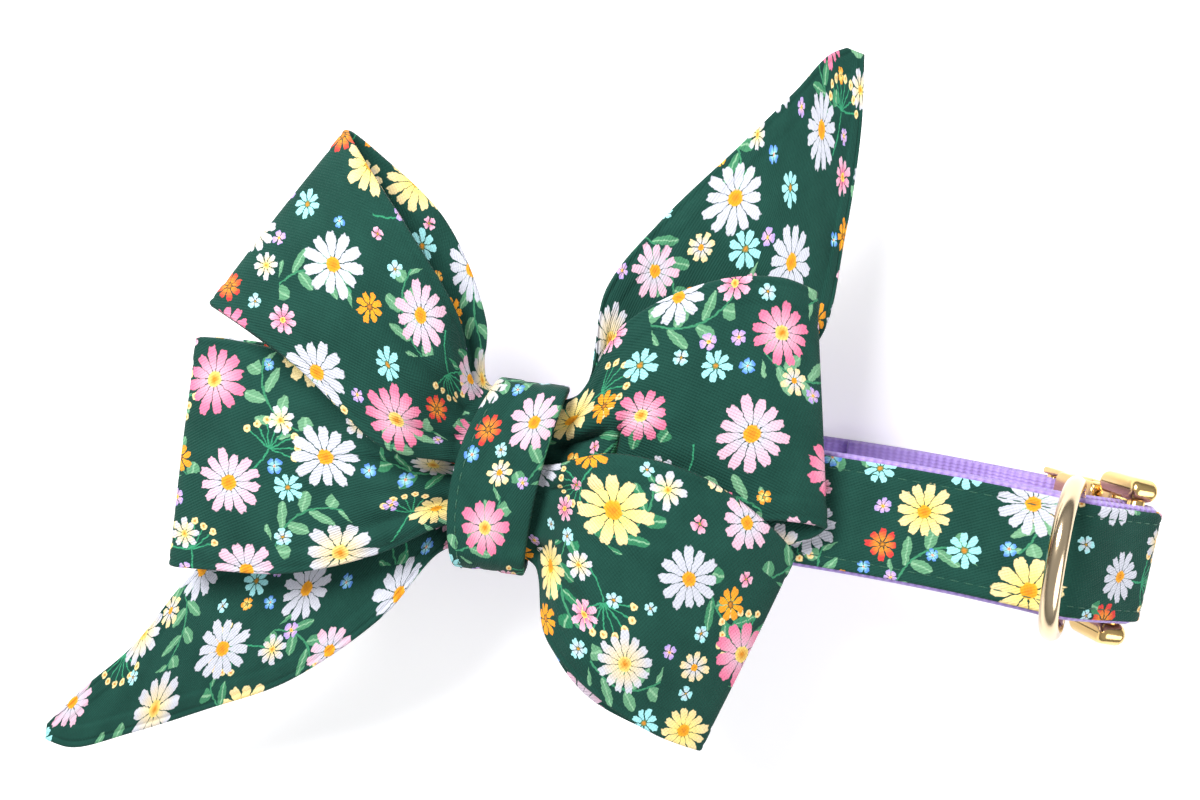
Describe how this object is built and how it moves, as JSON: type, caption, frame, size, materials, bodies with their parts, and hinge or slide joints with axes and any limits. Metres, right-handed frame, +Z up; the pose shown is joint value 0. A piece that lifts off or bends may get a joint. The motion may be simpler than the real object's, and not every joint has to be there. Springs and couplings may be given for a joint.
{
  "type": "pet bow tie collar",
  "caption": "Dog collar of webbing with a printed cotton cover, D-ring and side-release buckle, wearing a large bow with folded loops and pointed tails.",
  "frame": {"origin": "on the surface it lies on, under the middle of the bow's knot, on the outer face of the strap's back run", "axes": "+X along the strap towards the buckle, +Y across the strap, +Z up, out of the bow's front"},
  "size_m": [0.2363, 0.1781, 0.0681],
  "materials": {
    "printed_cotton": "fine twill printed with small flowers",
    "lavender_webbing": "ribbed nylon webbing",
    "gold_metal": "polished light gold plating",
    "keeper_elastic": "flat woven elastic"
  },
  "bodies": {
    "collar": {"strap_webbing": "lavender_webbing", "strap_cover": "printed_cotton", "strap_cover_back": "printed_cotton", "buckle_clip": "gold_metal", "buckle_socket": "gold_metal", "bow_keeper": "keeper_elastic", "tail_lower_left": "printed_cotton", "tail_upper_right": "printed_cotton", "loop_lower_left": "printed_cotton", "loop_upper_right": "printed_cotton", "loop_upper_left": "printed_cotton", "loop_lower_right": "printed_cotton", "knot_band": "printed_cotton"},
    "ring": {"d_ring": "gold_metal"}
  },
  "joints": [
    {"name": "ring_swing", "type": "hinge", "parent": "collar", "child": "ring", "pos_m": [0.1163, -0.00139, 0.04795], "axis": [0, 1, 0], "range_deg": [-38, 100]}
  ]
}
